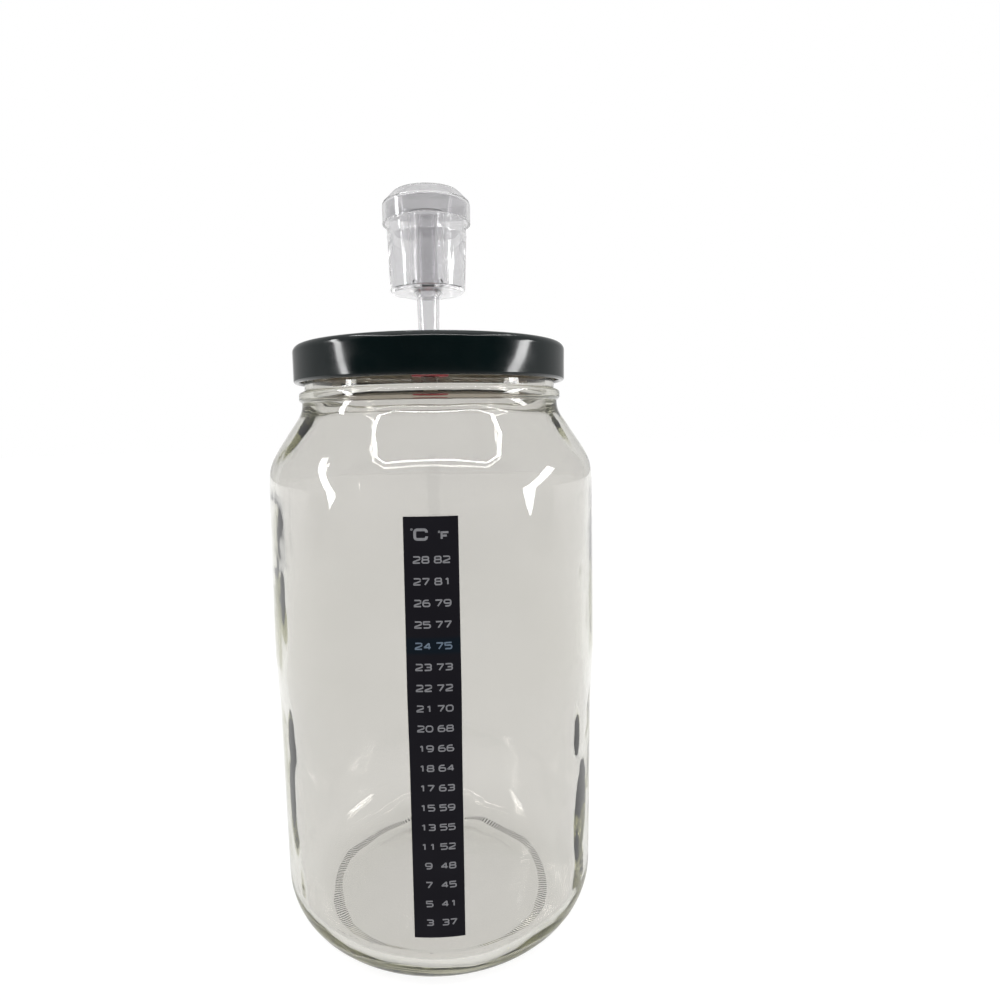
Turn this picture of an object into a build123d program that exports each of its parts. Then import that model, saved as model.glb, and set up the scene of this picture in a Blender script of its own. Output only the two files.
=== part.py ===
from build123d import *
from math import cos, degrees, radians, sin, tan
import os

# Fermentation jar with airlock, in millimetres, +Z up, standing on z = 0 with its axis on Z.
# The front, with the thermometer strip, faces -Y.

# Glass jar: body
shoulder_width = 15.05
glass_wall = 3.4
heel_radius = 21.0
inner_heel_radius = 17.0
bearing_width = 3.6
push_up = 4.0
base_thickness = 3.5
floor_rise = 2.3
panel_top = 98.0
band_rise = 23.0
band_proud = 1.0
band_blend_radius = 90.0
shoulder_inset = 0.45
shoulder_round = 22.0
shoulder_angle = 56.25

# Glass jar: neck and twist-off finish
rim_height = 245.7
finish_radius = 52.4
finish_wall = 3.2
rim_round = 1.2
bead_gap = 3.7
bead_width = 3.4
bead_proud = 1.2
bead_lip = 0.6
bead_round = 1.5
neck_step = 1.2
neck_run = 0.5
neck_round = 10.0
thread_starts = 6
thread_arc = 44.0
thread_rise = 1.2
thread_depth = 1.7
thread_width = 2.2
thread_root = 0.8
thread_clearance = 0.2
thread_depth_shares = (0.1, 0.75, 1, 1, 1, 0.75, 0.1)
thread_crest_shares = (0.2, 0.7)

# Lid: pressed steel shell and its sealing ring
lid_height = 15.2
sheet = 0.4
lid_corner = 3.0
ring_width = 7.5
ring_drop = 1.6
ring_slope = 1.2
ring_round = 0.6
curl_radius = 1.1
curl_clearance = 0.3
curl_angle = 250.0
lug_arc = 8.0
lug_thickness = 1.4
lug_lift = 0.3
lug_clearance = 0.5
lug_round = 0.4
gasket_thickness = 1.0
gasket_gap = 0.2
gasket_margin = 1.4
gasket_round = 0.3
hole_radius = 6.5

# Grommet: rubber bush in the lid's hole
flange_width = 1.4
flange_height = 2.2
sleeve_length = 10.4
grommet_fit = 0.1
grommet_round = 0.7

# Airlock body: cup, standpipe, hub and stem
cup_standoff = 23.5
cup_height = 34.6
cup_foot_radius = 15.6
cup_flare = 1.15
cup_corner = 1.5
cup_wall = 1.1
cup_floor = 1.4
fill_line_drop = 12.2
fill_line_width = 0.5
fill_line_proud = 0.15
hub_radius = 6.35
hub_height = 1.8
stem_radius = 4.74
stem_taper = 1.44
stem_length = 38.0
stem_wall = 0.75
stem_fit = 0.05
standpipe_radius = 4.35
standpipe_drop = 5.6
standpipe_wall = 0.9
floor_round = 0.6

# Airlock bell: the inverted float over the standpipe
bell_radius = 7.85
bell_taper = 0.4
bell_wall = 0.9
bell_headroom = 1.0
bell_seat = 0.2
bell_round = 1.5
notch_count = 4
notch_width = 2.4
notch_height = 3.2

# Airlock cap
cap_wall = 1.1
cap_fit = 0.3
cap_seat = 0.05
cap_overlap = 7.0
cap_slope_width = 3.75
cap_slope_height = 3.85
cap_brow_width = 4.6
cap_brow_height = 1.2
cap_round = 1.0
vent_count = 3
vent_radius = 0.6
vent_circle = 4.5

# Thermometer strip on the glass
strip_width = 18.6
strip_bottom_margin = 7.3
strip_top_margin = 14.5
strip_offset = -0.9
film_thickness = 0.3
adhesive_thickness = 0.12
strip_gap = 0.05

# One overrun serves every cut.
overrun = 2.0

# Direction of the front, in degrees from +X
front_angle = 270

# Radii that follow from the sizes above
mouth_radius = finish_radius - finish_wall
neck_radius = finish_radius + neck_step
bead_radius = neck_radius + bead_proud
body_radius = neck_radius + shoulder_width
inner_radius = body_radius - glass_wall
shoulder_radius = body_radius - shoulder_inset
bearing_radius = body_radius - heel_radius
push_up_radius = bearing_radius - bearing_width
curl_inner_radius = finish_radius + thread_depth + curl_clearance
lid_radius = curl_inner_radius + 2 * curl_radius
lug_radius = finish_radius + lug_clearance
ring_inner = lid_radius - lid_corner - ring_width
flange_radius = hole_radius + flange_width
cup_rim_radius = cup_foot_radius + cup_flare
bell_top_radius = bell_radius - bell_taper
cap_radius = cup_rim_radius + cap_fit

# Heights that follow from the sizes above, the neck's and shoulder's from the rim down
ring_underside = rim_height + gasket_gap + gasket_thickness
lid_top = ring_underside + sheet
lid_bottom = lid_top - lid_height
panel_height = lid_top - ring_drop
lug_bottom = lid_bottom + lug_lift
lug_top = lug_bottom + lug_thickness
bead_high = lid_bottom - bead_gap
bead_low = bead_high - bead_width
shoulder_slope = tan(radians(shoulder_angle))
neck_tangent = neck_round * tan(radians((90 - shoulder_angle) / 2))
neck_height = bead_low - bead_lip - neck_run - neck_tangent
shoulder_height = neck_height - (shoulder_radius - neck_radius) * shoulder_slope
band_bottom = panel_top + band_rise
floor_height = push_up + base_thickness
floor_edge = floor_height - floor_rise
strip_bottom = heel_radius + strip_bottom_margin
strip_top = shoulder_height - strip_top_margin
flange_bottom = panel_height + grommet_fit
flange_top = flange_bottom + flange_height
sleeve_top = panel_height - sheet - grommet_fit
sleeve_bottom = sleeve_top - sleeve_length
cup_bottom = panel_height + cup_standoff
floor_top = cup_bottom + cup_floor
cup_rim = cup_bottom + cup_height
fill_line = cup_rim - fill_line_drop
standpipe_top = cup_rim - standpipe_drop
stem_tip = cup_bottom - stem_length
bell_bottom = floor_top + bell_seat
bell_top = standpipe_top + bell_headroom + bell_wall
cap_bottom = cup_rim - cap_overlap
cap_shoulder = cup_rim + cap_seat
cap_ceiling = cap_shoulder + cap_slope_height + cap_brow_height
strip_arc = degrees(strip_width / body_radius)
strip_turn = front_angle + degrees(strip_offset / body_radius) - strip_arc / 2


def radial_plane(turn):
    # Plane through the jar's axis, with x as the radius and y as the height, turned from +X.
    angle = radians(turn)
    return Plane(
        origin=(0, 0, 0),
        x_dir=(cos(angle), sin(angle), 0),
        z_dir=(sin(angle), -cos(angle), 0),
    )


def dome_arc(start, end):
    # Arc of a shallow dome whose summit, at start, lies on the axis.
    run = end[0] - start[0]
    drop = start[1] - end[1]
    return RadiusArc(start, end, (run**2 + drop**2) / (2 * drop))


def wall_outline(proud, low, high):
    # Outer wall of the jar from one height to another, moved out by proud.
    band_radius = body_radius + band_proud
    rise_share = (high - band_bottom) / (shoulder_height - band_bottom)
    high_radius = band_radius + (shoulder_radius - band_radius) * rise_share
    return [
        (body_radius + proud, low),
        (body_radius + proud, panel_top),
        (band_radius + proud, band_bottom),
        (high_radius + proud, high),
    ]


def strip_outline(proud, thickness):
    # Closed outline of one layer of the strip, which follows the jar's wall.
    blends = [band_blend_radius, band_blend_radius]
    inner = FilletPolyline(*wall_outline(proud, strip_bottom, strip_top), radius=blends)
    outer = FilletPolyline(
        *wall_outline(proud + thickness, strip_bottom, strip_top), radius=blends
    )
    Line(inner @ 0, outer @ 0)
    Line(inner @ 1, outer @ 1)


def slope_height(radius):
    # Height of the shoulder's straight slope at a radius, on the inside of the glass.
    rise = (shoulder_radius - radius) * shoulder_slope
    return shoulder_height + rise - glass_wall / cos(radians(shoulder_angle))


def stem_radius_at(height):
    # The stem narrows from the hub down to its tip.
    return stem_radius - (cup_bottom - hub_height - height) * tan(radians(stem_taper))


def cup_radius_at(height):
    # The cup widens from its foot to its rim.
    rise_share = (height - cup_bottom) / cup_height
    return cup_foot_radius + cup_flare * rise_share


# One start of the twist-off thread. It falls in the closing direction, clockwise from above,
# and its underside clears the lid's lug by the running clearance at the low end.
with BuildPart() as thread:
    last_step = len(thread_depth_shares) - 1
    entry_turn = front_angle - (360 / thread_starts - thread_arc) / 2
    for step, depth_share in enumerate(thread_depth_shares):
        fall_share = step / last_step
        underside = lug_top + thread_clearance + thread_rise * (1 - fall_share)
        root = finish_radius - thread_root
        crest = finish_radius + thread_depth * depth_share
        with BuildSketch(radial_plane(entry_turn - thread_arc * fall_share)):
            with BuildLine():
                Polyline(
                    (root, underside),
                    (crest, underside + thread_width * thread_crest_shares[0]),
                    (crest, underside + thread_width * thread_crest_shares[1]),
                    (root, underside + thread_width),
                    close=True,
                )
            make_face()
    loft()

# Glass jar
with BuildPart() as glass_jar:
    with BuildSketch(Plane.XZ) as jar_section:
        with BuildLine():
            underside_line = dome_arc((0, push_up), (push_up_radius, 0))
            bearing_line = Line(underside_line @ 1, (bearing_radius, 0))
            heel_line = JernArc(bearing_line @ 1, (1, 0), heel_radius, 90)
            wall_line = FilletPolyline(
                *wall_outline(0, heel_radius, shoulder_height),
                (neck_radius, neck_height),
                (neck_radius, bead_low - bead_lip),
                (bead_radius, bead_low),
                (bead_radius, bead_high),
                (finish_radius, bead_high + bead_lip),
                (finish_radius, rim_height),
                radius=[band_blend_radius, band_blend_radius, shoulder_round, neck_round]
                + [bead_lip, bead_round, bead_round, bead_lip],
            )
            rim_line = Line(wall_line @ 1, (mouth_radius, rim_height))
            inner_line = FilletPolyline(
                rim_line @ 1,
                (mouth_radius, slope_height(mouth_radius)),
                (inner_radius, slope_height(inner_radius)),
                (inner_radius, floor_edge + inner_heel_radius),
                radius=[neck_round + glass_wall, shoulder_round - glass_wall],
            )
            JernArc(inner_line @ 1, (0, -1), inner_heel_radius, -90)
            floor_line = dome_arc(
                (0, floor_height), (inner_radius - inner_heel_radius, floor_edge)
            )
            Line(floor_line @ 0, underside_line @ 0)
        make_face()
        fillet(jar_section.vertices().group_by(Axis.Y)[-1], radius=rim_round)
    revolve(axis=Axis.Z)
    with PolarLocations(0, thread_starts):
        add(thread.part)
glass_jar.part.label = "glass_jar"

# Lid shell, pressed from one sheet: panel, raised ring, skirt and curl, with six lugs
with BuildPart() as lid_shell:
    with BuildSketch(Plane.XZ):
        with BuildLine():
            skirt_line = FilletPolyline(
                (hole_radius, panel_height),
                (ring_inner - ring_slope, panel_height),
                (ring_inner, lid_top),
                (lid_radius, lid_top),
                (lid_radius, lid_bottom + curl_radius),
                radius=[ring_round + sheet, ring_round + sheet, lid_corner],
            )
            JernArc(skirt_line @ 1, (0, -1), curl_radius, -curl_angle)
            offset(amount=sheet, side=Side.RIGHT)
        make_face()
    revolve(axis=Axis.Z)
    for start in range(thread_starts):
        lug_turn = front_angle + 360 / thread_starts * start - lug_arc / 2
        with BuildSketch(radial_plane(lug_turn)) as lug_section:
            with BuildLine():
                Polyline(
                    (lug_radius, lug_bottom),
                    (lid_radius - curl_radius, lug_bottom),
                    (lid_radius - curl_radius, lug_top),
                    (lug_radius, lug_top),
                    close=True,
                )
            make_face()
            fillet(lug_section.vertices().group_by(Axis.X)[0], radius=lug_round)
        revolve(axis=Axis.Z, revolution_arc=lug_arc)
lid_shell.part.label = "lid_shell"

# Sealing ring under the lid's raised ring
with BuildPart() as lid_gasket:
    with BuildSketch(Plane.XZ) as gasket_section:
        with BuildLine():
            Polyline(
                (ring_inner + gasket_margin, ring_underside),
                (ring_inner + gasket_margin, ring_underside - gasket_thickness),
                (lid_radius - lid_corner, ring_underside - gasket_thickness),
                (lid_radius - lid_corner, ring_underside),
                close=True,
            )
        make_face()
        fillet(gasket_section.vertices().group_by(Axis.Y)[0], radius=gasket_round)
    revolve(axis=Axis.Z)
lid_gasket.part.label = "lid_gasket"

# Rubber grommet: flange above the panel, groove in the hole, sleeve below
with BuildPart() as grommet:
    with BuildSketch(Plane.XZ) as grommet_section:
        with BuildLine():
            Polyline(
                (stem_radius_at(flange_top) + stem_fit, flange_top),
                (flange_radius, flange_top),
                (flange_radius, flange_bottom),
                (hole_radius - grommet_fit, flange_bottom),
                (hole_radius - grommet_fit, sleeve_top),
                (flange_radius, sleeve_top),
                (flange_radius, sleeve_bottom),
                (stem_radius_at(sleeve_bottom) + stem_fit, sleeve_bottom),
                close=True,
            )
        make_face()
        flange_corners = grommet_section.vertices().group_by(Axis.X)[-1]
        fillet(flange_corners, radius=grommet_round)
    revolve(axis=Axis.Z)
grommet.part.label = "grommet"

# Airlock body: stem, hub, cup and standpipe around one bore
with BuildPart() as airlock_body:
    with BuildSketch(Plane.XZ):
        with BuildLine():
            cup_outside = FilletPolyline(
                (hub_radius, cup_bottom),
                (cup_foot_radius, cup_bottom),
                (cup_rim_radius, cup_rim),
                radius=cup_corner,
            )
            cup_inside = FilletPolyline(
                (cup_rim_radius - cup_wall, cup_rim),
                (cup_radius_at(floor_top) - cup_wall, floor_top),
                (standpipe_radius, floor_top),
                (standpipe_radius, standpipe_top),
                radius=floor_round,
            )
            Line(cup_outside @ 1, cup_inside @ 0)
            tip_radius = stem_radius_at(stem_tip)
            Polyline(
                cup_inside @ 1,
                (standpipe_radius - standpipe_wall, standpipe_top),
                (stem_radius - stem_wall, cup_bottom),
                (tip_radius - stem_wall, stem_tip),
                (tip_radius, stem_tip),
                (stem_radius, cup_bottom - hub_height),
                cup_outside @ 0,
            )
        make_face()
    revolve(axis=Axis.Z)
    with BuildSketch(Plane.XZ):
        with BuildLine():
            line_low = fill_line - fill_line_width / 2
            line_high = fill_line + fill_line_width / 2
            Polyline(
                (cup_radius_at(line_low) - cup_wall / 2, line_low),
                (cup_radius_at(line_low) + fill_line_proud, line_low),
                (cup_radius_at(line_high) + fill_line_proud, line_high),
                (cup_radius_at(line_high) - cup_wall / 2, line_high),
                close=True,
            )
        make_face()
    revolve(axis=Axis.Z)
airlock_body.part.label = "airlock_body"

# Airlock bell, open below, with notches that let the gas out
with BuildPart() as airlock_bell:
    with BuildSketch(Plane.XZ):
        with BuildLine():
            FilletPolyline(
                (bell_radius, bell_bottom),
                (bell_top_radius, bell_top),
                (0, bell_top),
                radius=bell_round,
            )
            offset(amount=bell_wall, side=Side.LEFT)
        make_face()
    revolve(axis=Axis.Z)
    for notch in range(notch_count):
        angle = radians(front_angle + 360 / notch_count * (notch + 1 / 2))
        notch_plane = Plane(
            origin=(0, 0, bell_bottom),
            x_dir=(-sin(angle), cos(angle), 0),
            z_dir=(cos(angle), sin(angle), 0),
        )
        with BuildSketch(notch_plane):
            SlotOverall(2 * notch_height, notch_width, rotation=90)
        extrude(amount=bell_radius + overrun, mode=Mode.SUBTRACT)
airlock_bell.part.label = "airlock_bell"

# Airlock cap: skirt over the cup's rim, sloped shoulder and vented top
with BuildPart() as airlock_cap:
    with BuildSketch(Plane.XZ):
        with BuildLine():
            FilletPolyline(
                (cap_radius, cap_bottom),
                (cap_radius, cap_shoulder),
                (cap_radius - cap_slope_width, cap_shoulder + cap_slope_height),
                (cap_radius - cap_slope_width - cap_brow_width, cap_ceiling),
                (0, cap_ceiling),
                radius=cap_round,
            )
            offset(amount=cap_wall, side=Side.RIGHT)
        make_face()
    revolve(axis=Axis.Z)
    with BuildSketch(Plane.XY.offset(cap_ceiling - overrun)):
        with PolarLocations(vent_circle, vent_count):
            Circle(vent_radius)
    extrude(amount=cap_wall + 2 * overrun, mode=Mode.SUBTRACT)
airlock_cap.part.label = "airlock_cap"

# Thermometer strip: adhesive on the glass, film over it
with BuildPart() as strip_adhesive:
    with BuildSketch(radial_plane(strip_turn)):
        with BuildLine():
            strip_outline(strip_gap, adhesive_thickness)
        make_face()
    revolve(axis=Axis.Z, revolution_arc=strip_arc)
strip_adhesive.part.label = "strip_adhesive"

with BuildPart() as thermometer_strip:
    with BuildSketch(radial_plane(strip_turn)):
        with BuildLine():
            strip_outline(2 * strip_gap + adhesive_thickness, film_thickness)
        make_face()
    revolve(axis=Axis.Z, revolution_arc=strip_arc)
thermometer_strip.part.label = "thermometer_strip"

os.makedirs("parts", exist_ok=True)
pieces = [glass_jar, lid_shell, lid_gasket, grommet, airlock_body, airlock_bell, airlock_cap]
pieces += [strip_adhesive, thermometer_strip]
for piece in pieces:
    export_step(piece.part, f"parts/{piece.part.label}.step")
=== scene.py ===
from math import atan2, ceil, cos, pi, radians, sin, tan

import bmesh
import bpy
from mathutils import Matrix, Vector, noise


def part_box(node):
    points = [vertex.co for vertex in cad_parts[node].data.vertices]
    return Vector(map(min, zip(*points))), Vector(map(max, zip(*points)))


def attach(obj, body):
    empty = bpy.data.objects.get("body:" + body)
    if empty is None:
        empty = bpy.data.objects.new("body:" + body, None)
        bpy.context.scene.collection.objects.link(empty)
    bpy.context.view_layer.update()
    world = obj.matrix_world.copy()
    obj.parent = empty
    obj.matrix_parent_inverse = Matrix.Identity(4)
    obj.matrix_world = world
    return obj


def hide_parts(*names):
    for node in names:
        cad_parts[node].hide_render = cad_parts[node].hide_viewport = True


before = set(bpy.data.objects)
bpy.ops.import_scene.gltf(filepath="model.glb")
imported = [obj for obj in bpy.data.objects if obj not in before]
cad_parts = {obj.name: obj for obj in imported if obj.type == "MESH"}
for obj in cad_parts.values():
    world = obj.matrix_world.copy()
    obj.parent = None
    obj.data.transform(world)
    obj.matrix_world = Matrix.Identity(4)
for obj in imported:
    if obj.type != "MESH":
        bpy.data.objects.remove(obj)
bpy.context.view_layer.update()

# Fermentation jar with airlock: the finished look of each piece, in metres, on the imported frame.
# The jar stands on z = 0 with its axis on Z, and the thermometer strip faces -Y.
MM = 0.001
MERGE = 0.001 * MM

# Jar sizes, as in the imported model
rim_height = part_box("glass_jar")[1].z
band_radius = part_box("glass_jar")[1].x
band_proud = 1.0 * MM
body_radius = band_radius - band_proud
glass_wall = 3.4 * MM
heel_radius = 21.0 * MM
inner_heel_radius = 17.0 * MM
bearing_width = 3.6 * MM
push_up = 4.0 * MM
base_thickness = 3.5 * MM
floor_rise = 2.3 * MM
panel_top = 98.0 * MM
band_rise = 23.0 * MM
band_blend = 90.0 * MM
shoulder_inset = 0.45 * MM
shoulder_round = 22.0 * MM
shoulder_angle = radians(56.25)
finish_radius = 52.4 * MM
finish_wall = 3.2 * MM
rim_round = 1.2 * MM
bead_gap = 3.7 * MM
bead_width = 3.4 * MM
bead_proud = 1.2 * MM
bead_lip = 0.6 * MM
bead_round = 1.5 * MM
neck_step = 1.2 * MM
neck_run = 0.5 * MM
neck_round = 10.0 * MM
thread_starts = 6
thread_arc = radians(44)
thread_rise = 1.2 * MM
thread_depth = 1.7 * MM
thread_width = 2.2 * MM
thread_clearance = 0.2 * MM
finish_match = 0.1 * MM

# How steeply the thread rises: from its ends, in shares of its length, and across its width
thread_end_slope = 4.5
thread_end_least = 0.1
thread_under_slope = 5
thread_top_slope = 3.3

# Fine surface of the jar: ribs under it, dots of the mould in its heel, waves of its inner wall
rib_count = 240
rib_start = 0.2 * bearing_width
rib_reach = 3.6 * MM
rib_depth = 0.26 * MM
rib_height_limit = 0.5 * MM
mould_dot_depth = 0.6 * MM
mould_dot_match = 0.05 * MM
mould_dots_top = heel_radius / 4
wave_depth = 0.30 * MM
wave_width = 26.0 * MM
wave_height = 70.0 * MM
ripple_depth = 0.09 * MM
ripple_size = 11 * MM
calm_under_rim = 8 * MM
calm_fade = 20 * MM
calm_floor_radius = 1 * MM

# Lid, sealing ring and grommet sizes
lid_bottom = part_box("lid_shell")[0].z
lid_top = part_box("lid_shell")[1].z
lid_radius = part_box("lid_shell")[1].x
sheet = 0.4 * MM
lid_corner = 3.0 * MM
ring_width = 7.5 * MM
ring_drop = 1.6 * MM
ring_slope = 1.2 * MM
ring_round = 0.6 * MM
curl_radius = 1.1 * MM
curl_angle = radians(250)
lug_arc = radians(8)
lug_thickness = 1.4 * MM
lug_lift = 0.3 * MM
lug_clearance = 0.5 * MM
lug_round = 0.4 * MM
gasket_margin = 1.4 * MM
gasket_round = 0.3 * MM
hole_radius = 6.5 * MM
grommet_fit = 0.1 * MM
grommet_round = 0.7 * MM
stem_fit = 0.05 * MM

# Airlock sizes
cup_bottom_standoff = 23.5 * MM
cup_height = 34.6 * MM
cup_foot_radius = 15.6 * MM
cup_flare = 1.15 * MM
cup_corner = 1.5 * MM
cup_rim_round = 0.3 * MM
cup_wall = 1.1 * MM
cup_floor = 1.4 * MM
fill_line_drop = 12.2 * MM
fill_line_width = 0.5 * MM
fill_line_proud = 0.15 * MM
hub_radius = 6.35 * MM
hub_height = 1.8 * MM
stem_radius = 4.74 * MM
stem_taper = radians(1.44)
stem_wall = 0.75 * MM
standpipe_radius = 4.35 * MM
standpipe_drop = 5.6 * MM
standpipe_wall = 0.9 * MM
standpipe_round = 0.25 * MM
floor_round = 0.6 * MM
bell_wall = 0.9 * MM
bell_taper = 0.4 * MM
bell_round = 1.5 * MM
notch_count = 4
notch_width = 2.4 * MM
notch_height = 3.2 * MM
cap_wall = 1.1 * MM
cap_seat = 0.05 * MM
cap_slope_width = 3.75 * MM
cap_slope_height = 3.85 * MM
cap_brow_width = 4.6 * MM
cap_brow_height = 1.2 * MM
cap_round = 1.0 * MM
vent_count = 3
vent_radius = 0.6 * MM
vent_circle = 4.5 * MM

# Thermometer strip sizes
strip_width = 18.6 * MM
strip_offset = -0.9 * MM
strip_gap = 0.05 * MM
adhesive_thickness = 0.12 * MM
film_thickness = 0.3 * MM
ink_lift = 0.02 * MM
ink_thickness = 0.02 * MM
numeral_width = 2.72 * MM
numeral_height = 2.62 * MM
numeral_stroke = 0.50 * MM
numeral_gap = 0.22 * MM
first_row_height = 169.8 * MM
row_pitch = 7.52 * MM
header_height = first_row_height + 1.15 * row_pitch
celsius_middle = -3.48 * MM
fahrenheit_middle = 3.62 * MM
lit_row = 4
lit_height = first_row_height - lit_row * row_pitch
degree_size = (0.75 * MM, 0.75 * MM, 0.22 * MM)

# What heads the two columns, with small noughts as degree signs
headers = (
    ("C", -3.40 * MM, 0, (4.9 * MM, 4.2 * MM, 0.95 * MM)),
    ("F", 4.75 * MM, -0.5 * MM, (3.0 * MM, 2.9 * MM, 0.7 * MM)),
    ("0", -6.43 * MM, 1.75 * MM, degree_size),
    ("0", 2.78 * MM, 0.8 * MM, degree_size),
)
scale_rows = (
    (28, 82), (27, 81), (26, 79), (25, 77), (24, 75), (23, 73), (22, 72), (21, 70), (20, 68), (19, 66),
    (18, 64), (17, 63), (15, 59), (13, 55), (11, 52), (9, 48), (7, 45), (5, 41), (3, 37),
)

# Strokes of the numerals and letters: whether closed, then corners (across, up, rounding), in
# shares of the glyph's width and height, with the rounding in shares of its height
glyph_strokes = {
    "0": [(True, [(0, 0, 0.3), (1, 0, 0.3), (1, 1, 0.3), (0, 1, 0.3)])],
    "1": [(False, [(0.3, 0.78), (0.62, 1, 0.05), (0.62, 0)])],
    "2": [(False, [(0, 1), (1, 1, 0.22), (1, 0.58, 0.2), (0, 0.2, 0.14), (0, 0, 0.02), (1, 0)])],
    "3": [
        (False, [(0, 1), (1, 1, 0.2), (1, 0.5, 0.18), (0.3, 0.5)]),
        (False, [(0.3, 0.5), (1, 0.5, 0.18), (1, 0, 0.2), (0, 0)]),
    ],
    "4": [(False, [(0.76, 0), (0.76, 1, 0.05), (0, 0.28, 0.03), (1, 0.28)])],
    "5": [(False, [(1, 1), (0, 1, 0.02), (0, 0.58, 0.02), (1, 0.58, 0.22), (1, 0, 0.22), (0, 0)])],
    "6": [(False, [(0.85, 1), (0, 1, 0.35), (0, 0, 0.25), (1, 0, 0.22), (1, 0.56, 0.22), (0.05, 0.56)])],
    "7": [(False, [(0, 1), (1, 1, 0.04), (0.35, 0)])],
    "8": [
        (True, [(0, 0, 0.2), (1, 0, 0.2), (1, 0.52, 0.2), (0, 0.52, 0.2)]),
        (False, [
            (0.3, 0.52), (0.05, 0.52, 0.16), (0.05, 1, 0.16),
            (0.95, 1, 0.16), (0.95, 0.52, 0.16), (0.7, 0.52),
        ]),
    ],
    "9": [(False, [(0.15, 0), (1, 0, 0.35), (1, 1, 0.25), (0, 1, 0.22), (0, 0.44, 0.22), (0.95, 0.44)])],
    "C": [(False, [(1, 0.7), (1, 1, 0.2), (0, 1, 0.2), (0, 0, 0.2), (1, 0, 0.2), (1, 0.3)])],
    "F": [(False, [(0, 0), (0, 1, 0.02), (1, 1)]), (False, [(0, 0.5), (0.75, 0.5)])],
}

# Directions, from +X
front = radians(270)

# Dots of the mould: degrees up the heel's arc, degrees round from the front
mould_dots = (
    (32.5, -49.5), (28.5, -47.0), (24.0, -44.5), (21.0, -41.0), (13.0, -35.0), (10.5, -31.0),
    (11.5, -23.0), (11.5, -10.5), (11.5, -5.5),
)

# How much the depth of a thin place in the moulded wall varies, and over what size
thin_unevenness = 0.6
thin_grain = 9.0 * MM

# Thin places: degrees round from the front, then height, half width, half height and depth in mm
thin_places = [
    (turn, *(size * MM for size in sizes))
    for turn, *sizes in (
        (53, 92, 7, 14, 0.62),
        (54, 58, 15, 27, 1.3),
        (55, 32, 12, 14, 0.8),
        (52, 160, 10, 13, 0.25),
        (53, 210, 12, 9, 0.65),
        (-55, 90, 10, 18, 0.8),
        (-59, 62, 8, 21, 0.9),
        (-54, 30, 6, 8, 0.4),
        (-58, 144, 6, 14, 0.6),
        (-50, 178, 5, 20, 0.15),
        (-53, 209, 12, 9, 0.65),
    )
]

# Mesh fineness
arc_step = radians(9)
small_arc_step = radians(15)
small_rounding = 2.0 * MM
least_arc_steps = 3
sharp_angle = radians(32)
spin_doublings = 4
jar_segments = 480
lid_segments = 256
airlock_segments = 128
outer_row = 12 * MM
inner_row = 5 * MM
lid_row = 6 * MM
strip_row = 6 * MM
strip_segments = 24
lug_segments = 6
thread_rows = 16
heel_row_step = radians(1.6)
heel_row_count = 21
dome_rows = (0, 0.25, 0.5, 0.75, 0.9)
foot_rows = (0, 0.12, 0.5, 0.85, 1)
floor_rows = (0.85, 0.7, 0.5, 0.25, 0)
curl_steps = 16
notch_segments = 32
vent_segments = 24

# Radii and heights that follow
mouth_radius = finish_radius - finish_wall
neck_radius = finish_radius + neck_step
bead_radius = neck_radius + bead_proud
inner_radius = body_radius - glass_wall
shoulder_radius = body_radius - shoulder_inset
bearing_radius = body_radius - heel_radius
push_up_radius = bearing_radius - bearing_width
lug_radius = finish_radius + lug_clearance
ring_inner = lid_radius - lid_corner - ring_width
panel_height = lid_top - ring_drop
lug_bottom = lid_bottom + lug_lift
lug_top = lug_bottom + lug_thickness
thread_low = lug_top
thread_high = thread_low + thread_clearance + thread_rise + thread_width
bead_high = lid_bottom - bead_gap
bead_low = bead_high - bead_width
shoulder_slope = tan(shoulder_angle)
neck_tangent = neck_round * tan((pi / 2 - shoulder_angle) / 2)
neck_height = bead_low - bead_lip - neck_run - neck_tangent
shoulder_height = neck_height - (shoulder_radius - neck_radius) * shoulder_slope
band_bottom = panel_top + band_rise
floor_height = push_up + base_thickness
floor_edge = floor_height - floor_rise
cup_bottom = panel_height + cup_bottom_standoff
cup_rim = cup_bottom + cup_height
cup_rim_radius = cup_foot_radius + cup_flare
floor_top = cup_bottom + cup_floor
fill_line = cup_rim - fill_line_drop
standpipe_top = cup_rim - standpipe_drop
stem_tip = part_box("airlock_body")[0].z
bell_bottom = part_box("airlock_bell")[0].z
bell_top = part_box("airlock_bell")[1].z
bell_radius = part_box("airlock_bell")[1].x
cap_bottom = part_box("airlock_cap")[0].z
cap_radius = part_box("airlock_cap")[1].x - cap_wall
cap_shoulder = cup_rim + cap_seat
cap_ceiling = cap_shoulder + cap_slope_height + cap_brow_height
strip_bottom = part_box("thermometer_strip")[0].z
strip_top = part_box("thermometer_strip")[1].z
film_proud = 2 * strip_gap + adhesive_thickness
flange_low, flange_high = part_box("grommet")


# Outlines: points (radius, height) that a spin turns into a piece

def corner_arc(before, corner, after):
    """Points of the arc that rounds one corner (radius, height, rounding)."""
    here = Vector(corner[:2])
    rounding = corner[2]
    toward_before = (Vector(before[:2]) - here).normalized()
    toward_after = (Vector(after[:2]) - here).normalized()
    half = toward_before.angle(toward_after) / 2
    centre = here + (toward_before + toward_after).normalized() * rounding / sin(half)
    start = here + toward_before * rounding / tan(half) - centre
    end = here + toward_after * rounding / tan(half) - centre
    first = atan2(start.y, start.x)
    turn = (atan2(end.y, end.x) - first + pi) % (2 * pi) - pi
    step = small_arc_step if rounding < small_rounding else arc_step
    steps = max(least_arc_steps, ceil(abs(turn) / step))
    return [
        centre + rounding * Vector((cos(first + turn * k / steps), sin(first + turn * k / steps)))
        for k in range(steps + 1)
    ]


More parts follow.
